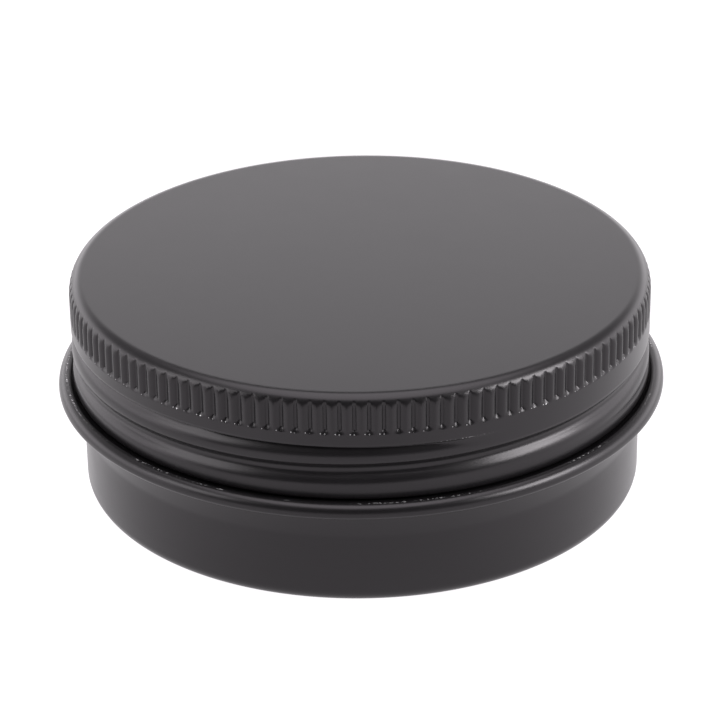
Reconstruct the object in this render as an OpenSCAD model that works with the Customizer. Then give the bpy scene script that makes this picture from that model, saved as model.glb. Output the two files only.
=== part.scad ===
// Screw-top tin for a small poured candle: a drawn tin body with a rolled bead and a
// rolled thread on its neck, a fluted drawn lid with the matching thread, and a foam liner.
// Millimetres, +Z up. The origin is on the axis, at the face that the tin stands on.
// The lid is drawn screwed down. Angles are counted from the front (-Y) towards +X.

/* [Overall] */
// Height of the closed tin
height = 25; // [23.5:0.5:32]
// Largest diameter, across the bead
bead_d = 68; // [56:0.5:90]
// Thickness of the drawn sheet
sheet = 0.35; // [0.25:0.01:0.42]

/* [Tin body] */
// Distance from the bead's edge in to the wall below it
body_inset = 2.7; // [2.2:0.1:3.2]
// Outer radius of the bottom corner
body_corner_r = 1.5; // [0.8:0.1:2.5]
// Height at which the bead is widest
bead_z = 12; // [10.5:0.05:13]
// Distance that the bead's bend takes inward
bead_r = 0.95; // [0.8:0.01:1.15]
// Height of the bead above its widest point
bead_rise = 1.15; // [0.95:0.05:1.4]
// Height of the bead below its widest point
bead_fall = 0.6; // [0.5:0.05:1]
// Depth of the ledge inside the bead, below the bead's top
ledge_drop = 0.25; // [0.15:0.05:0.5]
// Height of the cove that carries the wall out to the bead
cove_h = 3.2; // [2:0.1:4]
// Depth of the recessed panel in the base
base_recess = 0.5; // [0.3:0.05:1]
// Width of the ring that the tin stands on
foot_ring_w = 1.4; // [1:0.1:3]

/* [Lid] */
// Distance from the bead's edge in to the lid's outer face
lid_inset = 1.7; // [1.5:0.05:2.1]
// Distance that the top corner's bend takes inward
lid_corner_r = 1.4; // [0.8:0.1:2]
// Distance that the top corner's bend takes downward
lid_corner_h = 1.85; // [1.2:0.05:2.2]
// Height of the plain band's lower edge below the lid's top
band_drop = 5.7; // [5.2:0.1:6.4]
// Height of the plain hem at the lid's lower edge
hem_h = 1.05; // [0.4:0.05:1.3]

/* [Flutes] */
// Number of flutes round the lid
flute_count = 132; // [60:1:150]
// Share of the flutes' spacing that one flute takes
flute_share = 0.88; // [0.5:0.01:0.94]
// Depth of a flute
flute_depth = 0.32; // [0.15:0.01:0.36]
// Distance from the lid's top to the flutes' lower ends
flute_drop = 4.35; // [3.2:0.05:4.8]
// Extra wall inside the fluted band, where the sheet is pressed in
flute_backing = 0.25; // [0.15:0.01:0.35]

/* [Thread] */
// Rise of the lid in one turn
pitch = 3.2; // [2.6:0.1:4]
// Depth of the groove rolled into the lid
groove_depth = 0.7; // [0.55:0.01:0.9]
// Height of the flat on the lid's thread crest
crest_flat = 0.4; // [0.3:0.05:0.6]
// Height of the steep flank under the crest
lower_flank = 0.85; // [0.7:0.05:1]
// Height of the easy flank above the crest
upper_flank = 1.4; // [1.1:0.05:1.6]
// Distance from the plain band's edge down to the crest's lower edge, at the front
crest_drop = 1.9; // [1.5:0.05:2.3]
// Angle over which a groove or ridge runs out at its end
run_out = 28; // [15:1:45]

/* [Liner] */
// Thickness of the foam liner inside the lid
liner_t = 1.15; // [0.8:0.05:1.5]

/* [Fits] */
// Radial gap between the lid's thread and the neck's thread
thread_gap = 0.3; // [0.2:0.01:0.36]
// Gap under the lid's hem, above the ledge inside the bead
hem_gap = 0.25; // [0.2:0.05:0.5]
// Gap above and below the liner
liner_gap = 0.05; // [0.03:0.01:0.1]

/* [Hidden] */
$fn = 96;
coating = "#2b2a2c";
foam = "#e9e6df";

// Largest step along a bend's arc, and the grid of the two threaded walls
arc_step = 15;
thread_sides = 72;
thread_row_h = 0.44;
// How far a threaded wall runs into the plain wall above and below it
lap = 0.12;
// How far a threaded wall stays inside the faces of those plain walls
skin = 0.04;

// Lid
lid_r = bead_d / 2 - lid_inset;
lid_bore_r = lid_r - sheet;
ledge_z = bead_z + bead_rise - ledge_drop;
hem_z = ledge_z + hem_gap;
thread_low = hem_z + hem_h;
thread_high = height - band_drop;
thread_edge_low = 0.7;
thread_edge_high = 0.3;
ceiling_z = height - sheet;
flute_bore_r = lid_bore_r - flute_backing;
flute_low = height - flute_drop;
flute_high = height - lid_corner_h;
flute_w = flute_share * 2 * PI * lid_r / flute_count;

// Neck: the lid's grooves stand inward to lid_tip_r, and the neck's root clears them
lid_tip_r = lid_bore_r - groove_depth;
root_r = lid_tip_r - thread_gap;
ridge_h = lid_bore_r - thread_gap - root_r;
ridge_flat = 0.45;
ridge_flank = 0.6;
// Height of the ridge's middle above the lower edge of the lid's crest
ridge_seat = 0.3;
ridge_half_h = ridge_flat / 2 + ridge_flank;
// Plain neck left below and above the ridge
ridge_foot_gap = 0.75;
ridge_top_gap = 0.25;
rim_top = ceiling_z - 2 * liner_gap - liner_t;
curl_r = 0.45;
curl_centre_r = root_r - curl_r;
curl_z = rim_top - curl_r;
throat_r = curl_centre_r - curl_r;
neck_fillet_r = 0.4;
shoulder_h = 0.9;
curl_lead = 0.3;
shoulder_z = curl_z - curl_r - shoulder_h - curl_lead;
neck_low = ledge_z + neck_fillet_r;

// Body
body_r = bead_d / 2 - body_inset;
bead_centre_r = bead_d / 2 - bead_r;
// The bead's two faces run down to the ledge at these angles
bead_end = 180 - asin((bead_rise - ledge_drop) / bead_rise);
bead_bore_end = 180 - asin((bead_rise - ledge_drop - sheet) / (bead_rise - sheet));
cove_share = 0.45;
cove_r = body_r + cove_share * (bead_centre_r - body_r);
cove_top = bead_z - bead_fall;
cove_bend_r = 0.8;
panel_r = body_r - body_corner_r - foot_ring_w;
panel_step = 0.6;

// Liner: it clears the lid's inner corner
liner_side_gap = 0.1;
liner_r = lid_r - lid_corner_r - liner_side_gap;

// 0 below x = 0, 1 above x = 1, smooth between
function smooth(x) = let(c = min(max(x, 0), 1)) c * c * (3 - 2 * c);
// Height of the crest's lower edge at an angle counted on through whole turns
crest_front_z = thread_high - crest_drop;
function crest_z(a) = crest_front_z + pitch * a / 360;
// Whole turns, each way, that can reach the thread
turns = ceil((thread_high - thread_low) / pitch) + 1;

// The lid's wall fills out to the crest: steep from below, and easing out from the groove above
function crest_fill(s) = s < 0 ? 1 - smooth(-s / lower_flank)
    : let(t = min(max((crest_flat + upper_flank - s) / upper_flank, 0), 1)) 1 - (1 - t) * (1 - t);
// Past the groove's start, the wall above the crest stays plain
function plain_above(a, z) = z > crest_z(a) ? smooth(a / run_out) : 0;
function lid_fill(a, z) = max(crest_fill(z - crest_z(a)), plain_above(a, z));
function lid_window(z) =
    smooth((z - thread_low) / thread_edge_low) * smooth((thread_high - z) / thread_edge_high);
function lid_wall(a, z) = lid_r
    - groove_depth * lid_window(z) * (1 - max([for (k = [-turns:turns]) lid_fill(a + 360 * k, z)]));

// The neck's ridge follows the lid's crest, from above the ledge to below the band's edge
ridge_low_z = neck_low + lap + ridge_foot_gap + ridge_half_h - ridge_seat;
ridge_high_z = thread_high - lap - ridge_top_gap - ridge_half_h - ridge_seat;
ridge_start = 360 * (ridge_low_z - crest_front_z) / pitch;
ridge_end = 360 * (ridge_high_z - crest_front_z) / pitch;
function ridge_on(a) = smooth((a - ridge_start) / run_out) * smooth((ridge_end - a) / run_out);
function hump(s) = 1 - smooth((abs(s) - ridge_flat / 2) / ridge_flank);
function neck_rise(a, z) = ridge_on(a) * hump(z - crest_z(a) - ridge_seat);
function neck_wall(a, z) = root_r
    + ridge_h * max([for (k = [-turns:turns]) neck_rise(a + 360 * k, z)]);

// Points of an oval bend from angle a0 to a1, as [radius, height], and of a round one
function bend(c, in, up, a0, a1) = let(n = ceil(abs(a1 - a0) / arc_step))
    [for (i = [0:n]) let(a = a0 + (a1 - a0) * i / n) c + [in * cos(a), up * sin(a)]];
function arc(c, r, a0, a1) = bend(c, r, r, a0, a1);

// Two triangles of a face whose corners run counter-clockwise seen from outside
function quad(a, b, c, d) = [[a, c, b], [a, d, c]];

// A closed sheet wall between two heights. Its outer face follows wall(angle, height), and
// its inner face lies a sheet's thickness inside that.
module threaded_wall(low, high, wall) {
    n = thread_sides;
    steps = ceil((high - low) / thread_row_h);
    m = (steps + 1) * n;
    heights = [for (j = [0:steps]) low + (high - low) * j / steps];
    function ring(inset) = [
        for (z = heights) for (i = [0:n - 1])
            let(a = 360 * i / n - 180, r = wall(a, z) - inset) [r * sin(a), -r * cos(a), z]
    ];
    polyhedron(
        concat(ring(skin), ring(sheet - skin)),
        [for (i = [0:n - 1]) let(k = (i + 1) % n) each concat(
            [for (j = [0:n:m - 2 * n]) each concat(
                quad(j + i, j + k, j + n + k, j + n + i),
                quad(m + j + k, m + j + i, m + j + n + i, m + j + n + k))],
            quad(m + i, m + k, k, i),
            quad(m - n + i, m - n + k, 2 * m - n + k, 2 * m - n + i))]);
}

// Drawn body up to the foot of the neck: base panel, foot ring, wall, cove, bead and ledge
module body_shell() {
    rotate_extrude() polygon(concat(
        [[0, base_recess], [panel_r - panel_step, base_recess], [panel_r, 0]],
        arc([body_r - body_corner_r, body_corner_r], body_corner_r, -90, 0),
        [[body_r, cove_top - cove_h]],
        arc([cove_r + cove_bend_r, cove_top - cove_bend_r], cove_bend_r, 180, 90),
        bend([bead_centre_r, bead_z], bead_r, bead_fall, -90, 0),
        bend([bead_centre_r, bead_z], bead_r, bead_rise, arc_step, bead_end),
        arc([root_r + neck_fillet_r, ledge_z + neck_fillet_r], neck_fillet_r, 270, 180),
        [[root_r, neck_low + lap], [root_r - sheet, neck_low + lap]],
        arc([root_r + neck_fillet_r, ledge_z + neck_fillet_r], neck_fillet_r + sheet, 180, 270),
        bend([bead_centre_r, bead_z], bead_r - sheet, bead_rise - sheet, bead_bore_end, arc_step),
        bend([bead_centre_r, bead_z], bead_r - sheet, bead_fall - min(sheet, bead_fall / 2), 0, -90),
        arc([cove_r + cove_bend_r, cove_top - cove_bend_r], cove_bend_r + sheet, 90, 180),
        [[body_r - sheet, cove_top - cove_h]],
        arc([body_r - body_corner_r, body_corner_r], body_corner_r - sheet, 0, -90),
        [[panel_r, sheet], [panel_r - panel_step, base_recess + sheet], [0, base_recess + sheet]]
    ));
}

// Top of the neck: the wall draws in to the throat and rolls out into the rim's curl
module neck_rim() {
    rotate_extrude() polygon(concat(
        [[root_r, thread_high - lap], [root_r, shoulder_z], [throat_r + sheet, shoulder_z + shoulder_h]],
        arc([curl_centre_r, curl_z], curl_r, -acos(-(curl_r - sheet) / curl_r), 180),
        [[throat_r, shoulder_z + shoulder_h], [root_r - sheet, shoulder_z],
         [root_r - sheet, thread_high - lap]]
    ));
}

module tin_body() {
    color(coating) union() {
        body_shell();
        threaded_wall(neck_low, thread_high, function(a, z) neck_wall(a, z));
        neck_rim();
    }
}

// Top of the lid and its rounded corner, down to the upper ends of the flutes
module lid_top() {
    corner = [lid_r - lid_corner_r, flute_high];
    corner_bore_r = lid_corner_r - sheet;
    rotate_extrude() polygon(concat(
        [[0, height]],
        bend(corner, lid_corner_r, lid_corner_h, 90, 0),
        [[flute_bore_r, flute_high]],
        bend(corner, corner_bore_r, lid_corner_h - sheet,
             acos((flute_bore_r - corner[0]) / corner_bore_r), 90),
        [[0, ceiling_z]]
    ));
}

// Band of pressed flutes that the fingers grip, with a rib between two flutes at the front
module fluted_band() {
    translate([0, 0, flute_low]) linear_extrude(flute_high - flute_low) difference() {
        circle(r = lid_r);
        circle(r = flute_bore_r);
        for (i = [0:flute_count - 1])
            rotate(360 * (i + 0.5) / flute_count)
                translate([0, lid_r]) polygon([[0, -flute_depth], [flute_w, flute_depth], [-flute_w, flute_depth]]);
    }
}

// Plain band between the flutes and the thread
module plain_band() {
    rotate_extrude() polygon([
        [lid_r, thread_high - lap], [lid_r, flute_low], [flute_bore_r, flute_low],
        [lid_bore_r, flute_low - flute_backing], [lid_bore_r, thread_high - lap]
    ]);
}

// Plain hem below the thread, with rounded edges
module lid_hem() {
    hem_mid_r = lid_r - sheet / 2;
    rotate_extrude() polygon(concat(
        arc([hem_mid_r, hem_z + sheet / 2], sheet / 2, -180, 0),
        [[lid_r, thread_low + lap], [lid_bore_r, thread_low + lap]]
    ));
}

module lid_shell() {
    color(coating) union() {
        lid_top();
        fluted_band();
        plain_band();
        threaded_wall(thread_low, thread_high, function(a, z) lid_wall(a, z));
        lid_hem();
    }
}

module lid_liner() {
    color(foam) translate([0, 0, rim_top + liner_gap]) cylinder(r = liner_r, h = liner_t);
}

tin_body();
lid_shell();
lid_liner();
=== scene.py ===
"""A screw-top candle tin: drawn and rolled tin body, fluted lid and foam liner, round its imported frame.

The lid and the body are spun from a section of the sheet, and then Geometry Nodes press the flutes
and roll the threads into both faces of the sheet. Sizes are in metres, angles in radians. Angles
round the axis are counted from the front (-Y) towards +X.
"""
import math

import bpy
from bpy.props import FloatProperty, FloatVectorProperty, IntProperty, PointerProperty
from mathutils import Matrix, Vector


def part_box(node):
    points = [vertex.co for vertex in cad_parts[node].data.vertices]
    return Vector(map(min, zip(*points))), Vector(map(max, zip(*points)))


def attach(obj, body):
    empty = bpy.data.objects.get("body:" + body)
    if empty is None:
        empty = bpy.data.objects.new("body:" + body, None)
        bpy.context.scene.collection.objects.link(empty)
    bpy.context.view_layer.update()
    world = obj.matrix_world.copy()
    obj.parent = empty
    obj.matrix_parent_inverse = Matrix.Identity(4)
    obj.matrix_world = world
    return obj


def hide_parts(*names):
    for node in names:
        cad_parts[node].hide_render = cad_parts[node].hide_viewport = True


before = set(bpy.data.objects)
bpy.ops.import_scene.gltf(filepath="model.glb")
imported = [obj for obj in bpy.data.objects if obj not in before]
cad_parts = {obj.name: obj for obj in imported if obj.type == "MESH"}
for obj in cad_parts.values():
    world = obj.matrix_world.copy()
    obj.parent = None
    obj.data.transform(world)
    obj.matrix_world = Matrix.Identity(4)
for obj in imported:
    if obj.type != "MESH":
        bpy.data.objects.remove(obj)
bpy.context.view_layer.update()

bl_info = {
    "name": "Candle Tin",
    "version": (1, 0, 0),
    "blender": (4, 5, 0),
    "location": "View3D > Sidebar > Candle Tin",
    "description": "Builds a screw-top candle tin with rolled threads, pressed flutes and a foam liner",
    "category": "Object",
}

MM = 0.001
TIN_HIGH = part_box("tin_body")[1]
LID_LOW, LID_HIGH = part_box("lid_shell")
LINER_LOW, LINER_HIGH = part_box("lid_liner")


def size(name, description, default):
    """A length that a user may change."""
    return FloatProperty(name=name, description=description, default=default, unit="LENGTH", precision=5)


def turn_of(name, description, degrees):
    """An angle that a user may change."""
    return FloatProperty(name=name, description=description, default=math.radians(degrees), subtype="ANGLE")


def share(name, description, default, low=0.0, high=1.0):
    """A plain number that a user may change."""
    return FloatProperty(name=name, description=description, default=default, min=low, max=high)


def tint(name, description, default):
    """A colour that a user may change."""
    return FloatVectorProperty(name=name, description=description, default=default, subtype="COLOR",
                               size=3, min=0.0, max=1.0)


# ---------------------------------------------------------------------------------------------
# Sizes and finishes


class SheetSizes(bpy.types.PropertyGroup):
    """The sheet and the thread that the tin and the lid share."""

    thickness: size("Sheet", "Thickness of the drawn sheet", 0.35 * MM)
    pitch: size("Pitch", "Rise of the thread in one turn", 3.2 * MM)
    crest_height: size("Crest height", "Height of the crest's lower edge at the front",
                       LID_HIGH[2] - 7.6 * MM)
    crest_flat: size("Crest flat", "Height of the flat on the lid's crest", 0.4 * MM)
    lower_flank: size("Lower flank", "Height of the steep flank under the crest", 0.85 * MM)
    upper_flank: size("Upper flank", "Height of the easy flank above the crest", 1.4 * MM)
    groove_depth: size("Groove depth", "Depth of the groove rolled into the lid", 0.7 * MM)
    thread_gap: size("Thread gap", "Radial gap between lid and neck", 0.3 * MM)
    thread_low: size("Thread low", "Lower end of the rolled zone", LID_LOW[2] + 1.05 * MM)
    thread_high: size("Thread high", "Upper end of the rolled zone", LID_HIGH[2] - 5.7 * MM)
    edge_low: size("Lower edge", "Height over which the grooves ease out at the lower end", 0.7 * MM)
    edge_high: size("Upper edge", "Height over which the grooves ease out at the upper end", 0.3 * MM)
    ridge_flat: size("Ridge flat", "Height of the flat on the neck's ridge", 0.45 * MM)
    ridge_flank: size("Ridge flank", "Height of each flank of the neck's ridge", 0.6 * MM)
    ridge_seat: size("Ridge seat", "Height of the ridge's middle above the crest's lower edge", 0.3 * MM)
    ridge_low: size("Ridge low", "Start of the ridge above the rolled zone's lower end", 0.5 * MM)
    ridge_high: size("Ridge high", "End of the ridge below the rolled zone's upper end", 1.5 * MM)
    run_out: turn_of("Run-out", "Angle over which a groove or ridge runs out", 28)


class TinSizes(bpy.types.PropertyGroup):
    """The tin body: base, wall, bead, neck and rim."""

    body_radius: size("Body radius", "Outer radius of the wall below the bead", 31.3 * MM)
    corner_radius: size("Corner radius", "Outer radius of the bottom corner", 1.5 * MM)
    foot_ring: size("Foot ring", "Width of the ring that the tin stands on", 1.4 * MM)
    base_recess: size("Base recess", "Depth of the panel in the base", 0.5 * MM)
    panel_step: size("Panel step", "Width of the slope round that panel", 0.6 * MM)
    bead_radius: size("Bead radius", "Outer radius across the bead", TIN_HIGH[0])
    bead_height: size("Bead height", "Height at which the bead is widest", 12.0 * MM)
    bead_roll: size("Bead roll", "Distance that the bead's bend takes inward", 0.95 * MM)
    bead_rise: size("Bead rise", "Height of the bead above its widest point", 1.15 * MM)
    bead_fall: size("Bead fall", "Height of the bead below its widest point", 0.6 * MM)
    ledge_drop: size("Ledge drop", "Depth of the ledge inside the bead, below its top", 0.25 * MM)
    cove_height: size("Cove height", "Height of the cove under the bead", 3.2 * MM)
    cove_share: share("Cove share", "Share of the way out to the bead that the cove's wall takes", 0.45)
    cove_bend: size("Cove bend", "Radius of the bend between the cove and the bead", 0.8 * MM)
    neck_fillet: size("Neck fillet", "Radius between the ledge and the neck", 0.4 * MM)
    shoulder: size("Shoulder", "Height over which the neck draws in to the throat", 0.9 * MM)
    rim_height: size("Rim height", "Top of the rim's curl", TIN_HIGH[2])
    curl_radius: size("Curl radius", "Outer radius of the rim's curl", 0.45 * MM)
    curl_lead: size("Curl lead", "Height of the plain throat under the curl", 0.3 * MM)


class LidSizes(bpy.types.PropertyGroup):
    """The lid: top, corner, flutes and hem."""

    radius: size("Lid radius", "Outer radius of the lid", LID_HIGH[0])
    top: size("Lid top", "Height of the lid's top face", LID_HIGH[2])
    hem: size("Lid hem", "Height of the lid's lower edge", LID_LOW[2])
    corner_radius: size("Corner radius", "Distance that the top corner's bend takes inward", 1.4 * MM)
    corner_drop: size("Corner drop", "Distance that the bend takes downward", 1.85 * MM)
    flute_count: IntProperty(name="Flutes", description="Number of pressed flutes", default=132, min=12)
    flute_share: share("Flute share", "Share of the flutes' spacing that one flute takes", 0.88)
    flute_depth: size("Flute depth", "Depth of a flute's sloping sides", 0.25 * MM)
    flute_slot: size("Flute slot", "Further depth of the narrow slot along a flute's middle", 0.09 * MM)
    slot_floor: share("Slot floor", "Share of a flute that the slot's floor takes", 0.17)
    slot_side: share("Slot side", "Share of a flute over which the slot's side rises", 0.16)
    flute_round: share("Flute round", "Rounding of a flute's valley", 0.2)
    flute_foot: size("Flute foot", "Height below which a flute runs out", LID_HIGH[2] - 3.85 * MM)
    foot_length: size("Foot length", "Height over which it runs out", 0.5 * MM)


class LinerSizes(bpy.types.PropertyGroup):
    """The foam liner inside the lid."""

    radius: size("Liner radius", "Outer radius of the foam disc", LINER_HIGH[0])
    low: size("Liner underside", "Height of the foam's underside", LINER_LOW[2])
    high: size("Liner top", "Height of the foam's upper face", LINER_HIGH[2])
    edge: size("Liner edge", "Rounding of the cut edge", 0.18 * MM)
    print_depth: size("Rim print", "Depth of the ring that the rim presses into the foam", 0.08 * MM)
    print_radius: size("Print radius", "Radius of that ring", 30.45 * MM)
    print_width: size("Print width", "Width of that ring", 1.1 * MM)


class Finishes(bpy.types.PropertyGroup):
    """Colours and gloss."""

    coating: tint("Coating", "Colour of the black coating", (0.0052, 0.0048, 0.0053))
    coating_gloss: share("Coating roughness", "Roughness of the satin coating", 0.30)
    metal: tint("Bare metal", "Colour of the bare aluminium", (0.62, 0.61, 0.62))
    metal_gloss: share("Metal roughness", "Roughness of the bare aluminium", 0.30)
    # Bare metal shows at worn places and at painted glints and a painted edge highlight.
    bare_metal_gloss: share("Worn roughness", "Roughness where the coating is rubbed through", 0.22)
    foam: tint("Foam", "Colour of the foam liner", (0.80, 0.78, 0.73))
    bare_metal_amount: share("Wear", "How far the rubbed edges show bare metal", 0.75)


class StudioSetup(bpy.types.PropertyGroup):
    """Camera and light."""

    look_height: size("Look-at height", "Height of the point that the camera looks at", 12.5 * MM)
    distance: size("Distance", "From that point to the camera", 361 * MM)
    elevation: turn_of("Elevation", "Angle of the camera above the floor", 26.7)
    roll: turn_of("Roll", "Tilt of the camera about its own axis", -0.8)
    lens: FloatProperty(name="Lens", description="Focal length on a 36 mm sensor", default=160.0,
                        subtype="DISTANCE_CAMERA")
    shift_x: share("Shift X", "Sideways shift of the picture, as a share of its width", -0.001389, -1.0)
    shift_y: share("Shift Y", "Upward shift of the picture, as a share of its width", 0.0075, -1.0)
    floor_glow: share("Floor glow", "Light that the paper sends out under the tin", 1.03, 0.0, 4.0)
    side_glow: share("Side glow", "Light that the paper sends out to both sides", 1.2, 0.0, 4.0)
    side_start: size("Side start", "Distance from the middle at which the side glow sets in", 12 * MM)
    side_width: size("Side width", "Distance over which it sets in", 25 * MM)


# ---------------------------------------------------------------------------------------------
# Node trees written as expressions


def math_method(operation, swapped=False):
    """A method that adds one Math node. Swapped, the field is the second of its two values."""
    def method(field, other):
        values = (other, field) if swapped else (field, other)
        return field.graph.math(operation, *values)
    return method


class Field:
    """A node socket that adds Math nodes when it is used in an expression."""

    def __init__(self, graph, socket):
        self.graph = graph
        self.socket = socket

    __add__ = math_method("ADD")
    __radd__ = math_method("ADD", swapped=True)
    __sub__ = math_method("SUBTRACT")
    __rsub__ = math_method("SUBTRACT", swapped=True)
    __mul__ = math_method("MULTIPLY")
    __rmul__ = math_method("MULTIPLY", swapped=True)
    __truediv__ = math_method("DIVIDE")
    __gt__ = math_method("GREATER_THAN")
    __lt__ = math_method("LESS_THAN")

    def __neg__(self):
        return self * -1.0

    def __abs__(self):
        return self.graph.math("ABSOLUTE", self)


class Graph:
    """Adds nodes to a tree: a type, its settings, and the values or links of its sockets."""

    def __init__(self, tree):
        self.tree = tree

    def node(self, kind, settings=None, inputs=None):
        node = self.tree.nodes.new(kind)
        for name, value in (settings or {}).items():
            setattr(node, name, value)
        for key, value in (inputs or {}).items():
            self.feed(node.inputs[key], value)
        return node

    def feed(self, socket, value):
        if isinstance(value, Field):
            self.tree.links.new(value.socket, socket)
        else:
            socket.default_value = value

    def field(self, kind, settings=None, inputs=None, output=0):
        """A node, given as the field that one of its sockets puts out."""
        return Field(self, self.node(kind, settings, inputs).outputs[output])

    def math(self, operation, *values):
        return self.field("ShaderNodeMath", {"operation": operation}, dict(enumerate(values)))

    def low(self, a, b):
        return self.math("MINIMUM", a, b)

    def high(self, a, b):
        return self.math("MAXIMUM", a, b)

    def clamp(self, value):
        return self.field("ShaderNodeClamp", None, {"Value": value})

    def smooth(self, value):
        """0 below 0, 1 above 1, and smooth between."""
        x = self.clamp(value)
        return x * x * (3.0 - 2.0 * x)

    def blend(self, factor, a, b):
        """Plain numbers or fields mixed by a factor."""
        return a + factor * (b - a)

    def colour_mix(self, factor, a, b):
        node = self.node("ShaderNodeMix", {"data_type": "RGBA"}, {"Factor": factor})
        self.feed(node.inputs[6], a)
        self.feed(node.inputs[7], b)
        return Field(self, node.outputs[2])

    def split(self, vector):
        parts = self.node("ShaderNodeSeparateXYZ", None, {0: vector})
        return [Field(self, socket) for socket in parts.outputs]

    def join(self, x, y, z):
        return self.field("ShaderNodeCombineXYZ", None, {0: x, 1: y, 2: z})

    def round_the_axis(self, x, y):
        """Radius, and angle from the front towards +X."""
        radius = self.math("SQRT", x * x + y * y)
        angle = self.math("ARCTAN2", x, -y)
        return radius, angle

    def noise(self, vector, scale, detail, roughness=0.5):
        return self.field("ShaderNodeTexNoise", None, {"Vector": vector, "Scale": scale, "Detail": detail,
                                                       "Roughness": roughness})


def rgba(colour):
    return (*colour, 1.0)


def add_object(name, data):
    """A new object in the scene, round its mesh, light or camera."""
    thing = bpy.data.objects.new(name, data)
    bpy.context.scene.collection.objects.link(thing)
    return thing


# ---------------------------------------------------------------------------------------------
# Geometry Nodes: pressing and rolling the sheet


class Press:
    """A Geometry Nodes tree that moves the sheet's points towards or away from the axis."""

    def __init__(self, name, sizes):
        self.tree = bpy.data.node_groups.new(name, "GeometryNodeTree")
        face = self.tree.interface
        face.new_socket("Geometry", in_out="INPUT", socket_type="NodeSocketGeometry")
        face.new_socket("Geometry", in_out="OUTPUT", socket_type="NodeSocketGeometry")
        for label, value in sizes.items():
            kind = "NodeSocketInt" if isinstance(value, int) else "NodeSocketFloat"
            face.new_socket(label, in_out="INPUT", socket_type=kind)
        face.new_socket("Outside", in_out="INPUT", socket_type="NodeSocketMaterial")
        face.new_socket("Inside", in_out="INPUT", socket_type="NodeSocketMaterial")
        self.sizes = sizes
        self.graph = Graph(self.tree)
        self.inputs = self.graph.node("NodeGroupInput")
        self.x, self.y, self.z = self.graph.split(self.graph.field("GeometryNodeInputPosition"))
        self.radius, self.angle = self.graph.round_the_axis(self.x, self.y)

    def get(self, label):
        """One of the tree's inputs."""
        return Field(self.graph, self.inputs.outputs[label])

    def mark(self, kind, name):
        """An attribute that spin left on the sheet."""
        return self.graph.field("GeometryNodeInputNamedAttribute", {"data_type": kind}, {"Name": name})

    def finish(self, new_radius):
        """Moves each point to its new radius and gives the two faces their finishes."""
        graph = self.graph
        share_of_radius = new_radius / graph.high(self.radius, 1e-6)
        moved = graph.field("GeometryNodeSetPosition", None, {
            "Geometry": self.get("Geometry"),
            "Position": graph.join(self.x * share_of_radius, self.y * share_of_radius, self.z)})
        plain = graph.field("GeometryNodeRealizeInstances", None, {0: moved})
        outside = graph.field("GeometryNodeSetMaterial", None, {
            "Geometry": plain, "Material": self.get("Outside")})
        inner = self.mark("BOOLEAN", "inner")
        inside = graph.field("GeometryNodeSetMaterial", None, {
            "Geometry": outside, "Selection": inner, "Material": self.get("Inside")})
        graph.node("NodeGroupOutput", None, {"Geometry": inside})

    def apply(self, piece, outside, inside):
        """Adds the tree to a piece with its sizes set by socket identifier."""
        modifier = piece.modifiers.new(self.tree.name, "NODES")
        modifier.node_group = self.tree
        values = {**self.sizes, "Outside": outside, "Inside": inside}
        for item in self.tree.interface.items_tree:
            if item.in_out == "INPUT" and item.name in values:
                modifier[item.identifier] = values[item.name]


def press_flutes(lid, sheet):
    """Upright flutes between narrow ribs, with a rib at the front. Each has a pointed foot.

    A flute is cut straight up, so it ends in a point where the corner bends in past its valley.
    """
    press = Press("Press flutes", {
        "Flutes": lid.flute_count, "Wall radius": lid.radius, "Sheet": sheet.thickness,
        "Share": lid.flute_share, "Depth": lid.flute_depth, "Round": lid.flute_round,
        "Slot": lid.flute_slot, "Slot floor": lid.slot_floor, "Slot side": lid.slot_side,
        "Foot": lid.flute_foot, "Foot length": lid.foot_length})
    graph = press.graph
    turn = press.angle * press.get("Flutes") / math.tau + 0.5
    cell = turn - graph.math("ROUND", turn)
    across = cell / (press.get("Share") / 2.0)
    below = graph.high(press.get("Foot") - press.z, 0.0) / press.get("Foot length")
    out = graph.clamp(graph.math("SQRT", across * across + below * below))
    rounding = press.get("Round")
    valley = graph.math("SQRT", out * out + rounding * rounding) - rounding
    rib = graph.math("SQRT", 1.0 + rounding * rounding) - rounding
    slot = 1.0 - graph.smooth((out - press.get("Slot floor")) / press.get("Slot side"))
    pressed = press.get("Depth") * (1.0 - valley / rib) + press.get("Slot") * slot
    wall = press.get("Wall radius") - press.mark("FLOAT", "backing") * press.get("Sheet")
    press.finish(graph.low(press.radius, wall - pressed))
    return press


def thread_crest(press, angle):
    """Height above the crest's lower edge, at an angle counted on through whole turns."""
    return press.z - (press.get("Crest height") + press.get("Pitch") * angle / math.tau)


def roll_lid_thread(sheet):
    """The wall stands in by the groove's depth, and fills out to the helical crest.

    It fills out steeply from below the crest's lower edge, and eases out from the groove above.
    """
    press = Press("Roll lid thread", {
        "Pitch": sheet.pitch, "Crest height": sheet.crest_height, "Crest flat": sheet.crest_flat,
        "Lower flank": sheet.lower_flank, "Upper flank": sheet.upper_flank,
        "Groove depth": sheet.groove_depth, "Low": sheet.thread_low, "High": sheet.thread_high,
        "Lower edge": sheet.edge_low, "Upper edge": sheet.edge_high, "Run-out": sheet.run_out})
    graph = press.graph
    fill = None
    for turn in (-math.tau, 0.0, math.tau):
        angle = press.angle + turn
        above = thread_crest(press, angle)
        ease = graph.clamp((above - press.get("Crest flat")) / press.get("Upper flank"))
        upper = (1.0 - ease * ease) * (above > 0.0)
        lower = (1.0 - graph.smooth(-above / press.get("Lower flank"))) * (above < 0.0)
        plain = (above > 0.0) * graph.smooth(angle / press.get("Run-out"))
        crest = graph.high(graph.high(upper, lower), plain)
        fill = crest if fill is None else graph.high(fill, crest)
    from_low = graph.smooth((press.z - press.get("Low")) / press.get("Lower edge"))
    from_high = graph.smooth((press.get("High") - press.z) / press.get("Upper edge"))
    zone = from_low * from_high
    press.finish(press.radius - press.get("Groove depth") * zone * (1.0 - fill))
    return press


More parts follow.
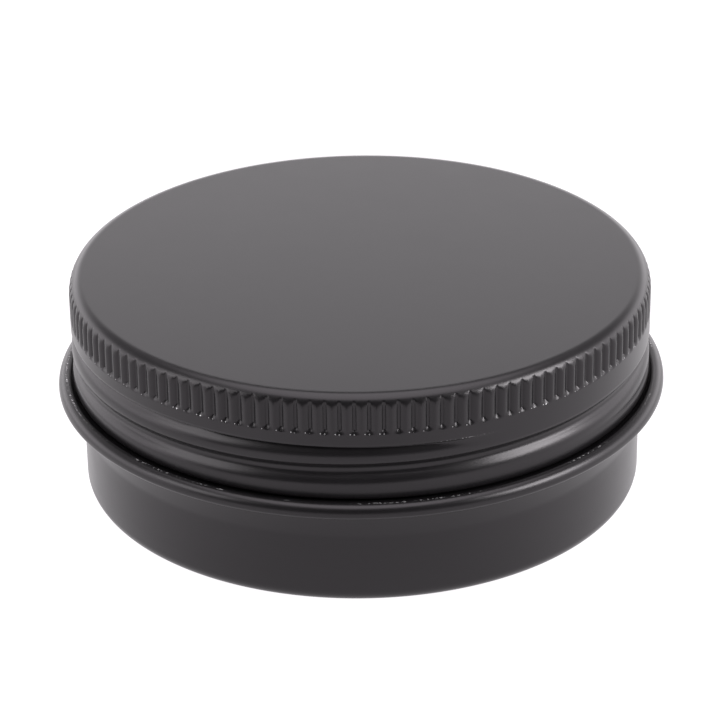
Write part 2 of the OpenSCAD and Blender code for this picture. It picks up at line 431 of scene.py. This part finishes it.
def roll_neck_thread(sheet, ridge_height, neck_foot):
    """A ridge on the neck that follows the lid's crest, with a run-out at each end."""
    start = math.tau * (sheet.thread_low + sheet.ridge_low - sheet.crest_height) / sheet.pitch
    end = math.tau * (sheet.thread_high - sheet.ridge_high - sheet.crest_height) / sheet.pitch
    press = Press("Roll neck thread", {
        "Pitch": sheet.pitch, "Crest height": sheet.crest_height, "Ridge seat": sheet.ridge_seat,
        "Ridge flat": sheet.ridge_flat, "Ridge flank": sheet.ridge_flank, "Ridge height": ridge_height,
        "Start": start, "End": end, "Run-out": sheet.run_out,
        "Neck foot": neck_foot, "Neck top": sheet.thread_high})
    graph = press.graph
    rise = None
    for turn in (-math.tau, 0.0, math.tau):
        angle = press.angle + turn
        off_middle = abs(thread_crest(press, angle) - press.get("Ridge seat"))
        crest = 1.0 - graph.smooth((off_middle - press.get("Ridge flat") / 2.0) / press.get("Ridge flank"))
        from_start = graph.smooth((angle - press.get("Start")) / press.get("Run-out"))
        from_end = graph.smooth((press.get("End") - angle) / press.get("Run-out"))
        ridge = crest * (from_start * from_end)
        rise = ridge if rise is None else graph.high(rise, ridge)
    on_neck = (press.z > press.get("Neck foot")) * (press.z < press.get("Neck top"))
    press.finish(press.radius + press.get("Ridge height") * rise * on_neck)
    return press


# ---------------------------------------------------------------------------------------------
# Spinning a section


def arc(centre, radius, start, end, steps):
    """Points of an arc in the section's plane, angles in degrees."""
    angles = [math.radians(start + (end - start) * i / steps) for i in range(steps + 1)]
    return [(centre[0] + radius * math.cos(a), centre[1] + radius * math.sin(a)) for a in angles]


def bend(centre, inward, drop, start, end, steps):
    """Points of an oval bend, angles in degrees."""
    circle = arc((0.0, 0.0), 1.0, start, end, steps)
    return [(centre[0] + inward * r, centre[1] + drop * z) for r, z in circle]


def run(start, end, steps):
    """Points between two ends, without the ends."""
    return [tuple(Vector(start).lerp(Vector(end), i / steps)) for i in range(1, steps)]


def even_angles(count):
    return [math.tau * i / count for i in range(count)]


def spin(name, outer, inner, angles):
    """A closed sheet: the outer section goes from the axis to the edge, the inner one comes back.

    Each section's axis end is closed by one flat face. The attributes "inner" (of faces) and
    "backing" (of points) mark the inner section.
    """
    section = outer + inner
    count = len(angles)
    points = [(r * math.sin(a), -r * math.cos(a), z) for r, z in section for a in angles]
    faces = []
    inner_faces = []
    for row in range(len(section) - 1):
        here, there = row * count, (row + 1) * count
        for i in range(count):
            k = (i + 1) % count
            faces.append((here + i, here + k, there + k, there + i))
            inner_faces.append(row >= len(outer) - 1)
    last = (len(section) - 1) * count
    faces.append(tuple(range(count - 1, -1, -1)))
    inner_faces.append(False)
    faces.append(tuple(range(last, last + count)))
    inner_faces.append(True)
    mesh = bpy.data.meshes.new(name)
    mesh.from_pydata(points, [], faces)
    mesh.attributes.new("inner", "BOOLEAN", "FACE").data.foreach_set("value", inner_faces)
    backing = [float(row >= len(outer)) for row in range(len(section)) for _ in angles]
    mesh.attributes.new("backing", "FLOAT", "POINT").data.foreach_set("value", backing)
    mesh.validate()
    mesh.shade_smooth()
    return add_object(name, mesh)


def settle(piece):
    """Turns the evaluated piece into a plain mesh, with its normals outwards."""
    graph = bpy.context.evaluated_depsgraph_get()
    mesh = bpy.data.meshes.new_from_object(piece.evaluated_get(graph), depsgraph=graph)
    piece.modifiers.clear()
    piece.data = mesh
    for name in ("inner", "backing"):
        if name in mesh.attributes:
            mesh.attributes.remove(mesh.attributes[name])
    if signed_volume(mesh) < 0.0:
        mesh.flip_normals()
    mesh.shade_smooth()
    mesh.name = piece.name


def signed_volume(mesh):
    """Positive when the faces point outwards."""
    mesh.calc_loop_triangles()
    spots = [v.co for v in mesh.vertices]
    return sum(spots[t.vertices[0]].dot(spots[t.vertices[1]].cross(spots[t.vertices[2]]))
               for t in mesh.loop_triangles) / 6.0


# ---------------------------------------------------------------------------------------------
# Finishes


def new_finish(name):
    """A material with an empty tree, its graph, and its surface coordinates."""
    finish = bpy.data.materials.new(name)
    finish.use_nodes = True
    finish.node_tree.nodes.clear()
    graph = Graph(finish.node_tree)
    place = Field(graph, graph.node("ShaderNodeTexCoord").outputs["Object"])
    return finish, graph, place


def close_finish(graph, sockets, bump=None):
    """Ends the tree in one Principled surface. A bump is a height, its strength and its distance."""
    if bump is not None:
        height, strength, distance = bump
        sockets = {**sockets, "Normal": graph.field("ShaderNodeBump", None, {
            "Strength": strength, "Distance": distance, "Height": height})}
    shader = graph.node("ShaderNodeBsdfPrincipled", None, sockets)
    graph.node("ShaderNodeOutputMaterial", None, {"Surface": Field(graph, shader.outputs[0])})


def speck(graph, across, up, radius):
    """A round spot, full to 0.6 of its radius and gone at 1.1."""
    distance = graph.math("SQRT", across * across + up * up)
    return 1.0 - graph.smooth((distance / (radius + 1e-9) - 0.6) / 0.5)


def patches(graph, place, scale, level, width):
    """1 in the patches where a broad noise passes the level."""
    return graph.smooth((graph.noise(place, scale, 1.0) - level) / width)


def satin_coating(name, looks, rubbed):
    """Satin black over aluminium; rubbed(graph, place) says where the metal shows through, at worn places
    and as painted glints.
    """
    finish, graph, place = new_finish(name)
    cloud = graph.noise(place, 260.0, 3.0)
    peel = graph.noise(place, 4200.0, 2.0)
    # The bare metal is partly wear and partly painted glints and a painted edge highlight.
    bare = rubbed(graph, place) * looks.bare_metal_amount
    shade = 0.88 + 0.24 * cloud
    tone = graph.node("ShaderNodeVectorMath", {"operation": "SCALE"}, {0: looks.coating, "Scale": shade})
    colour = graph.colour_mix(bare, Field(graph, tone.outputs[0]), rgba(looks.metal))
    gloss = graph.blend(bare, looks.coating_gloss - 0.03 + 0.06 * cloud, looks.bare_metal_gloss)
    close_finish(graph, {"Base Color": colour, "Roughness": gloss, "Metallic": bare, "IOR": 1.44,
                         "Specular Tint": (1.0, 0.95, 0.99, 1.0)}, (peel, 0.12, 0.02 * MM))
    return finish


def lid_bare_marks_and_glints(lid, sheet):
    """Spots of bare metal at the flutes' feet, partly chips and partly painted glints, and thin bare-metal
    rubs along the plain band's lower edge, partly wear and partly a painted edge highlight.

    Most flutes have a spot, and some have a second one beside it.
    """
    spot_side, spot_drop = 0.5 * MM, 0.38 * MM
    spot_least, spot_more = 0.03 * MM, 0.04 * MM
    drift_side, drift_drop = 0.12 * MM, 0.08 * MM
    second_side, second_drop, second_drift = 0.36 * MM, 0.05 * MM, 0.1 * MM
    second_size = 0.08 * MM
    share_marked = 0.75
    edge_drop = 0.02 * MM
    edge_width = 0.07 * MM

    def rubbed(graph, place):
        x, y, z = graph.split(place)
        radius, angle = graph.round_the_axis(x, y)
        turn = angle * (lid.flute_count / math.tau) + 0.5
        number = graph.math("ROUND", turn)
        spacing = math.tau * lid.radius / lid.flute_count
        luck = graph.node("ShaderNodeTexWhiteNoise", {"noise_dimensions": "1D"}, {"W": number + 0.37})
        chance = Field(graph, luck.outputs["Value"])
        drift_x, drift_y, _ = graph.split(Field(graph, luck.outputs["Color"]))
        across = (turn - number) * spacing + spot_side - (drift_x - 0.5) * drift_side
        up = z - lid.flute_foot + spot_drop - (drift_y - 0.5) * drift_drop
        second = across - second_side - drift_y * second_drift
        # Painted glints: bare-metal spots at the flutes' feet, partly real chips in the coating.
        spot = graph.high(speck(graph, across, up, spot_least + spot_more * chance),
                          speck(graph, second, up + second_drop,
                                second_size * graph.smooth(chance * 2.0 - 1.0)))
        grit = graph.noise(place, 5200.0, 3.0, 0.7)
        edge = 1.0 - graph.smooth(abs(z - sheet.thread_high + edge_drop) / edge_width)
        # Painted edge highlight: a thin bare-metal rub along the band's lower edge, partly real wear.
        rub = edge * patches(graph, place, 90.0, 0.55, 0.1) * graph.smooth((grit - 0.56) / 0.06)
        outside = radius > lid.radius - lid.flute_depth - 0.5 * sheet.thickness
        return graph.clamp(spot * (chance > 1.0 - share_marked) + rub) * outside
    return rubbed


def tin_bare_grit_and_glints(tin):
    """Fine bare-metal grit along the crest of the bead, in patches: partly chipped coating and partly
    painted glints.
    """
    crest = tin.bead_radius - tin.bead_roll + 0.05 * MM
    half_width = 0.05 * MM
    blur = 0.07 * MM

    def rubbed(graph, place):
        x, y, z = graph.split(place)
        radius, _ = graph.round_the_axis(x, y)
        # Painted glints along the bead's crest, as bare-metal grit, partly real chips.
        ring = 1.0 - graph.smooth((abs(radius - crest) - half_width) / blur)
        on_top = z > tin.bead_height
        worn = ring * on_top * patches(graph, place, 75.0, 0.5, 0.06)
        grit = graph.noise(place, 3000.0, 2.0, 0.6)
        return graph.clamp(worn * graph.smooth((grit - 0.56) / 0.04))
    return rubbed


def bare_aluminium(name, looks):
    """Drawn aluminium under clear lacquer: fine lines run round the axis."""
    finish, graph, place = new_finish(name)
    x, y, z = graph.split(place)
    radius, angle = graph.round_the_axis(x, y)
    across_scale, along_scale = 9000.0, 3.0
    along = graph.join(radius * across_scale, angle * along_scale, z * across_scale)
    lines = graph.noise(along, 1.0, 3.0, 0.65)
    cloud = graph.noise(place, 120.0, 2.0)
    colour = graph.colour_mix(graph.clamp(lines * 0.35 + cloud * 0.3), rgba(looks.metal),
                              rgba([c * 0.78 for c in looks.metal]))
    gloss = looks.metal_gloss - 0.06 + 0.14 * lines + 0.04 * cloud
    close_finish(graph, {"Base Color": colour, "Roughness": gloss, "Metallic": 1.0},
                 (lines, 0.25, 0.01 * MM))
    return finish


def liner_foam(name, looks):
    """Closed-cell foam sheet: small soft cells in a pale face."""
    finish, graph, place = new_finish(name)
    cell = graph.field("ShaderNodeTexVoronoi", {"feature": "SMOOTH_F1"}, {"Vector": place, "Scale": 1900.0},
                       "Distance")
    cloud = graph.noise(place, 220.0, 3.0)
    colour = graph.colour_mix(graph.clamp(cell * 0.5 + cloud * 0.35), rgba(looks.foam),
                              rgba([c * 0.84 for c in looks.foam]))
    close_finish(graph, {"Base Color": colour, "Roughness": 0.72 + 0.12 * cloud}, (cell, 0.5, 0.06 * MM))
    return finish


# ---------------------------------------------------------------------------------------------
# Pieces


def tin_section(tin, sheet):
    """Outer and inner sections of the drawn body, from the base's centre to the rim and back."""
    t = sheet.thickness
    wall = tin.body_radius
    panel = wall - tin.corner_radius - tin.foot_ring
    step_end = panel - tin.panel_step
    flat_end = step_end - 1.0 * MM
    edge_in, edge_out = 0.15 * MM, 0.2 * MM
    corner = (wall - tin.corner_radius, tin.corner_radius)
    bead = (tin.bead_radius - tin.bead_roll, tin.bead_height)
    ledge = ledge_height(tin)
    under = tin.bead_height - tin.bead_fall
    bead_end = 180.0 - math.degrees(math.asin((ledge - bead[1]) / tin.bead_rise))
    bore_end = 180.0 - math.degrees(math.asin((ledge - t - bead[1]) / (tin.bead_rise - t)))
    cove_radius = wall + tin.cove_share * (bead[0] - wall)
    cove = (cove_radius + tin.cove_bend, under - tin.cove_bend)
    cove_low = under - tin.cove_height
    neck = neck_radius(sheet)
    foot = (neck + tin.neck_fillet, ledge + tin.neck_fillet)
    curl = (neck - tin.curl_radius, tin.rim_height - tin.curl_radius)
    throat = curl[0] - tin.curl_radius
    draw_in = curl[1] - tin.curl_radius - tin.curl_lead
    shoulder = draw_in - tin.shoulder
    shoulder_knee = shoulder + 0.3 * MM
    thread_rows = 34
    outer = [(flat_end, tin.base_recess), (step_end - edge_in, tin.base_recess)]
    outer += arc((step_end, tin.base_recess - edge_in), edge_in, 90, 45, 3)
    outer += arc((panel - 0.05 * MM, edge_out), edge_out, 225, 270, 3)
    outer += arc(corner, tin.corner_radius, -90, 0, 10)
    outer += run((wall, tin.corner_radius), (wall, cove_low), 4)
    outer += [(wall, cove_low - 0.4 * MM), (wall + 0.03 * MM, cove_low + 0.2 * MM)]
    outer += arc(cove, tin.cove_bend, 172, 90, 8)
    outer += bend(bead, tin.bead_roll, tin.bead_fall, -90, 0, 9)
    outer += bend(bead, tin.bead_roll, tin.bead_rise, 8, bead_end, 16)
    outer += arc(foot, tin.neck_fillet, 270, 180, 6)
    outer += run((neck, foot[1]), (neck, sheet.thread_high), thread_rows)
    outer += [(neck, sheet.thread_high), (neck, shoulder)]
    outer += [(throat + t + 0.35 * MM, shoulder_knee), (throat + t, draw_in)]
    outer += arc(curl, tin.curl_radius, -105, 90, 14)
    inner = arc(curl, tin.curl_radius, 105, 180, 6)
    inner += [(throat, draw_in), (throat + 0.3 * MM, shoulder_knee), (neck - t, shoulder),
              (neck - t, sheet.thread_high)]
    inner += run((neck - t, sheet.thread_high), (neck - t, foot[1]), thread_rows)
    inner += arc(foot, tin.neck_fillet + t, 180, 270, 6)
    inner += bend(bead, tin.bead_roll - t, tin.bead_rise - t, bore_end, 10, 10)
    inner += bend(bead, tin.bead_roll - t, tin.bead_fall / 2, 0, -90, 5)
    inner += arc(cove, tin.cove_bend + t, 90, 172, 8)
    inner += [(wall - t, cove_low), (wall - t, tin.corner_radius + 2.0 * MM)]
    inner += arc(corner, tin.corner_radius - t, 0, -90, 8)
    inner += [(panel, t), (step_end, tin.base_recess + t), (flat_end, tin.base_recess + t)]
    return outer, inner


def ledge_height(tin):
    """Height of the ledge inside the bead, where the neck starts."""
    return tin.bead_height + tin.bead_rise - tin.ledge_drop


def neck_radius(sheet):
    """Outer radius of the neck between its ridges: it clears the grooves in the lid."""
    lid_bore = LID_HIGH[0] - sheet.thickness
    return lid_bore - sheet.groove_depth - sheet.thread_gap


def lid_section(lid, sheet):
    """Outer and inner sections of the drawn cap, from its top's centre to the hem and back.

    The rows are closest where a face turns sharply: at the flutes' feet and at the band's lower edge.
    """
    t = sheet.thickness
    band = sheet.thread_high
    corner = (lid.radius - lid.corner_radius, lid.top - lid.corner_drop)
    hem = (lid.radius - t / 2, lid.hem + t / 2)
    bore = lid.radius - t
    flat_end = corner[0] - 1.2 * MM
    fine_end = band - 0.5 * MM
    bore_end = band - 0.35 * MM
    foot_rows = [0.2, 0.0, -0.24, -0.5, -0.74, -1.0, -1.12]
    outer = [(flat_end, lid.top), (corner[0] - 0.2 * MM, lid.top)]
    outer += bend(corner, lid.corner_radius, lid.corner_drop, 90, 0, 13)
    outer += [(lid.radius, lid.flute_foot + up * lid.foot_length) for up in foot_rows]
    outer += [(lid.radius, band + 0.3 * MM), (lid.radius, band + 0.04 * MM)]
    outer += run((lid.radius, band), (lid.radius, fine_end), 6)
    outer += run((lid.radius, fine_end), (lid.radius, sheet.thread_low), 17)
    outer += [(lid.radius, sheet.thread_low)]
    outer += arc(hem, t / 2, 0, -90, 3)
    inner = arc(hem, t / 2, -120, -180, 2)
    inner += [(bore, sheet.thread_low)]
    inner += run((bore, sheet.thread_low), (bore, bore_end), 7)
    inner += [(bore, bore_end), (bore, band - 0.18 * MM), (bore, band)]
    inner += [(bore, lid.flute_foot - 0.3 * MM), (bore, lid.flute_foot), (bore, lid.flute_foot + 0.4 * MM)]
    inner += bend(corner, lid.corner_radius - t, lid.corner_drop - t, 0, 90, 5)
    inner += [(flat_end, lid.top - t)]
    return outer, inner


def flute_angles(lid):
    """Angles of the lid's points: ten to each flute, closest at the sides of its slot."""
    cell = math.tau / lid.flute_count
    edge = lid.flute_share / 2
    steps = [0.075, 0.11, 0.15, edge]
    steps = [0.0] + steps + [0.5] + [1.0 - step for step in reversed(steps)]
    return [(i + 0.5 + step) * cell for i in range(lid.flute_count) for step in steps]


def liner_section(liner):
    """Upper and lower sections of the foam disc, with the rim's print in its underside."""
    edge = liner.edge
    face_end = liner.radius - edge
    upper = [(liner.radius - 2.2 * MM, liner.high), (face_end - 0.2 * MM, liner.high)]
    upper += arc((face_end, liner.high - edge), edge, 90, 0, 5)
    lower = arc((face_end, liner.low + edge), edge, 0, -90, 5)
    half = liner.print_width / 2
    rows = 9
    for i in range(rows):
        across = 1.0 - 2.0 * i / (rows - 1)
        dent = liner.print_depth * (0.5 + 0.5 * math.cos(math.pi * across))
        clear_of_edge = face_end - 0.02 * MM * (rows - i)
        lower.append((min(liner.print_radius + half * across, clear_of_edge), liner.low + dent))
    lower.append((liner.print_radius - half - 1.0 * MM, liner.low))
    return upper, lower


class CANDLETIN_OT_tin_body(bpy.types.Operator):
    """Spin the tin body, roll its thread and coat it"""

    bl_idname = "candletin.tin_body"
    bl_label = "Tin body"

    def execute(self, context):
        scene = context.scene
        tin, sheet, looks = scene.tin_sizes, scene.sheet_sizes, scene.finishes
        outer, inner = tin_section(tin, sheet)
        piece = spin("tin_drawn_body", outer, inner, even_angles(360))
        ridge = scene.lid_sizes.radius - sheet.thickness - sheet.thread_gap - neck_radius(sheet)
        coating = satin_coating("tin_satin_coating", looks, tin_bare_grit_and_glints(tin))
        lining = bare_aluminium("tin_bare_inside", looks)
        neck_foot = ledge_height(tin) + tin.neck_fillet
        roll_neck_thread(sheet, ridge, neck_foot).apply(piece, coating, lining)
        settle(piece)
        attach(piece, "tin")
        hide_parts("tin_body")
        return {"FINISHED"}


class CANDLETIN_OT_lid(bpy.types.Operator):
    """Spin the lid, press its flutes, roll its thread and coat it"""

    bl_idname = "candletin.lid"
    bl_label = "Lid"

    def execute(self, context):
        scene = context.scene
        lid, sheet, looks = scene.lid_sizes, scene.sheet_sizes, scene.finishes
        outer, inner = lid_section(lid, sheet)
        piece = spin("lid_drawn_cap", outer, inner, flute_angles(lid))
        coating = satin_coating("lid_satin_coating", looks, lid_bare_marks_and_glints(lid, sheet))
        lining = bare_aluminium("lid_bare_inside", looks)
        press_flutes(lid, sheet).apply(piece, coating, lining)
        roll_lid_thread(sheet).apply(piece, coating, lining)
        settle(piece)
        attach(piece, "lid")
        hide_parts("lid_shell")
        return {"FINISHED"}


class CANDLETIN_OT_liner(bpy.types.Operator):
    """Cut the foam liner"""

    bl_idname = "candletin.liner"
    bl_label = "Foam liner"

    def execute(self, context):
        scene = context.scene
        upper, lower = liner_section(scene.liner_sizes)
        piece = spin("lid_foam_liner", upper, lower, even_angles(180))
        piece.data.materials.append(liner_foam("liner_foam_sheet", scene.finishes))
        settle(piece)
        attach(piece, "liner")
        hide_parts("lid_liner")
        return {"FINISHED"}


# ---------------------------------------------------------------------------------------------
# Studio

# Brightness of the surround: a start value at the floor, and then steps, each as the elevations
# in degrees between which it changes and the value that it changes to
BACK_START, BACK_STEPS = 2.45, ((18.0, 29.5, 0.4), (52.0, 64.0, 2.9))
FRONT_START, FRONT_STEPS = 0.08, ((46.0, 60.0, 2.9),)
# Between these two the front takes over from the back: 0 is sideways, 1 is straight to the front
FRONT_FROM, FRONT_TO = 0.1, 0.6
# Share of green in the light of the surround and of the paper
GREEN = 0.97
# Name, azimuth from the front and elevation in degrees, distance, width and height in metres, watts
SOFT_BOXES = (("right_box", 70, 27, 0.9, 0.5, 0.36, 7.0),
              ("left_box", -68, 30, 0.9, 0.5, 0.36, 2.0))
FLOOR_HALF = 3.0


def soft_box(name, azimuth, elevation, distance, width, height, power):
    """A soft light that faces the tin from one direction."""
    azimuth, elevation = math.radians(azimuth), math.radians(elevation)
    toward = Vector((math.sin(azimuth) * math.cos(elevation), -math.cos(azimuth) * math.cos(elevation),
                     math.sin(elevation)))
    lamp = bpy.data.lights.new(name, "AREA")
    lamp.shape = "RECTANGLE"
    lamp.size = width
    lamp.size_y = height
    lamp.energy = power
    light = add_object(name, lamp)
    light.location = toward * distance
    light.rotation_euler = toward.to_track_quat("Z", "Y").to_euler()


def stepped(graph, value, start, steps):
    """A start value that changes smoothly to each step's own value between its two ends."""
    result = start
    for low, high, level in steps:
        result = graph.blend(graph.smooth((value - low) / (high - low)), result, level)
    return result


def light_tent():
    """White walls that fade upwards, a bright roof, and dark in front, where the camera stands."""
    world = bpy.data.worlds.new("light_tent")
    world.use_nodes = True
    world.node_tree.nodes.clear()
    graph = Graph(world.node_tree)
    x, y, z = graph.split(graph.field("ShaderNodeTexCoord", output="Generated"))
    level = graph.math("SQRT", x * x + y * y)
    elevation = graph.math("ARCTAN2", z, level) * (180.0 / math.pi)
    ahead = -y / graph.high(level, 0.001)
    back = stepped(graph, elevation, BACK_START, BACK_STEPS)
    front = stepped(graph, elevation, FRONT_START, FRONT_STEPS)
    in_front = graph.smooth((ahead - FRONT_FROM) / (FRONT_TO - FRONT_FROM))
    brightness = graph.blend(in_front, back, front)
    sky = graph.field("ShaderNodeBackground", None, {
        "Color": (1.0, GREEN, 1.0, 1.0), "Strength": brightness})
    graph.node("ShaderNodeOutputWorld", None, {"Surface": sky})
    return world


def lay_paper(studio):
    """A pale floor that sends out its own light, a little more to both sides."""
    half = FLOOR_HALF
    floor = bpy.data.meshes.new("studio_floor")
    floor.from_pydata([(-half, -half, 0), (half, -half, 0), (half, half, 0), (-half, half, 0)], [],
                      [(0, 1, 2, 3)])
    paper, graph, place = new_finish("studio_paper")
    x, _, _ = graph.split(place)
    side = graph.smooth((abs(x) - studio.side_start) / studio.side_width)
    glow = graph.blend(side, studio.floor_glow, studio.side_glow)
    colour = graph.join(glow, glow * GREEN, glow)
    close_finish(graph, {"Base Color": rgba((0.02, 0.02, 0.02)), "Roughness": 1.0,
                         "Specular IOR Level": 0.0, "Emission Color": colour, "Emission Strength": 1.0})
    floor.materials.append(paper)
    ground = add_object("studio_floor", floor)


def set_camera(studio):
    """A long lens from the front, above the tin, tilted slightly about its own axis."""
    target = Vector((0.0, 0.0, studio.look_height))
    toward = Vector((0.0, -math.cos(studio.elevation), math.sin(studio.elevation)))
    camera = add_object("camera", bpy.data.cameras.new("camera"))
    camera.data.lens = studio.lens
    camera.data.sensor_width = 36.0
    camera.data.clip_start = 0.01
    camera.data.shift_x = studio.shift_x
    camera.data.shift_y = studio.shift_y
    camera.location = target + toward * studio.distance
    turned = toward.to_track_quat("Z", "Y").to_matrix() @ Matrix.Rotation(studio.roll, 3, "Z")
    camera.rotation_euler = turned.to_euler()
    bpy.context.scene.camera = camera


class CANDLETIN_OT_studio(bpy.types.Operator):
    """Set the pale floor, the soft lights and the camera"""

    bl_idname = "candletin.studio"
    bl_label = "Studio"

    def execute(self, context):
        scene = context.scene
        studio = scene.studio_setup
        lay_paper(studio)
        scene.world = light_tent()
        for box in SOFT_BOXES:
            soft_box(*box)
        set_camera(studio)
        scene.view_settings.view_transform = "Standard"
        scene.view_settings.look = "None"
        return {"FINISHED"}


class CANDLETIN_PT_panel(bpy.types.Panel):
    """Lists the tin's sizes and the steps that build it"""

    bl_label = "Candle Tin"
    bl_idname = "CANDLETIN_PT_panel"
    bl_space_type = "VIEW_3D"
    bl_region_type = "UI"
    bl_category = "Candle Tin"

    def draw(self, context):
        for group in SIZE_GROUPS:
            box = self.layout.box()
            settings = getattr(context.scene, group)
            for name in settings.__annotations__:
                box.prop(settings, name)
        for operator in STEPS:
            self.layout.operator(operator.bl_idname)


SIZE_GROUPS = {"sheet_sizes": SheetSizes, "tin_sizes": TinSizes, "lid_sizes": LidSizes,
               "liner_sizes": LinerSizes, "finishes": Finishes, "studio_setup": StudioSetup}
STEPS = (CANDLETIN_OT_tin_body, CANDLETIN_OT_lid, CANDLETIN_OT_liner, CANDLETIN_OT_studio)
CLASSES = (*SIZE_GROUPS.values(), *STEPS, CANDLETIN_PT_panel)


def register():
    for cls in CLASSES:
        bpy.utils.register_class(cls)
    for name, group in SIZE_GROUPS.items():
        setattr(bpy.types.Scene, name, PointerProperty(type=group))


def unregister():
    for name in SIZE_GROUPS:
        delattr(bpy.types.Scene, name)
    for cls in reversed(CLASSES):
        bpy.utils.unregister_class(cls)


def main():
    register()
    bpy.ops.candletin.tin_body()
    bpy.ops.candletin.lid()
    bpy.ops.candletin.liner()
    bpy.ops.candletin.studio()


if __name__ == "__main__":
    main()
